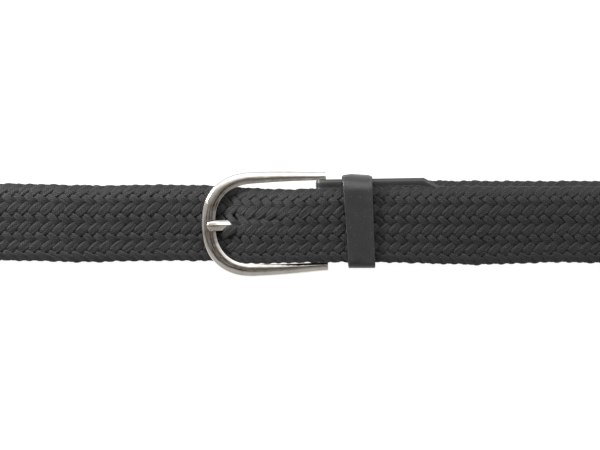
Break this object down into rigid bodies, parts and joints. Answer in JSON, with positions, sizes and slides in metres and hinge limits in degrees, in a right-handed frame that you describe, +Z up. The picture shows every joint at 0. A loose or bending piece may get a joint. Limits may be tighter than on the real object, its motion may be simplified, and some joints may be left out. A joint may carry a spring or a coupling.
{
  "type": "braided belt",
  "caption": "Braided cord belt with a horseshoe buckle, leather tab and keeper, fastened and laid flat as a loop.",
  "frame": {"origin": "on the flat resting face of the strap's back stretch, under the middle of the buckle's cross bar", "axes": "+X along the belt, from the buckle towards its sewn end; +Y across the strap; +Z up, out of its face"},
  "size_m": [0.4692, 0.0484, 0.0226],
  "materials": {
    "braided_cord": "braided polyester cord",
    "black_leather": "smooth, semi-matt",
    "chrome_plate": "polished"
  },
  "bodies": {
    "root": {"braided_strap": "braided_cord", "leather_tab": "black_leather", "leather_tip": "black_leather", "keeper_loop": "black_leather", "buckle_frame": "chrome_plate", "prong": "chrome_plate"}
  },
  "joints": []
}
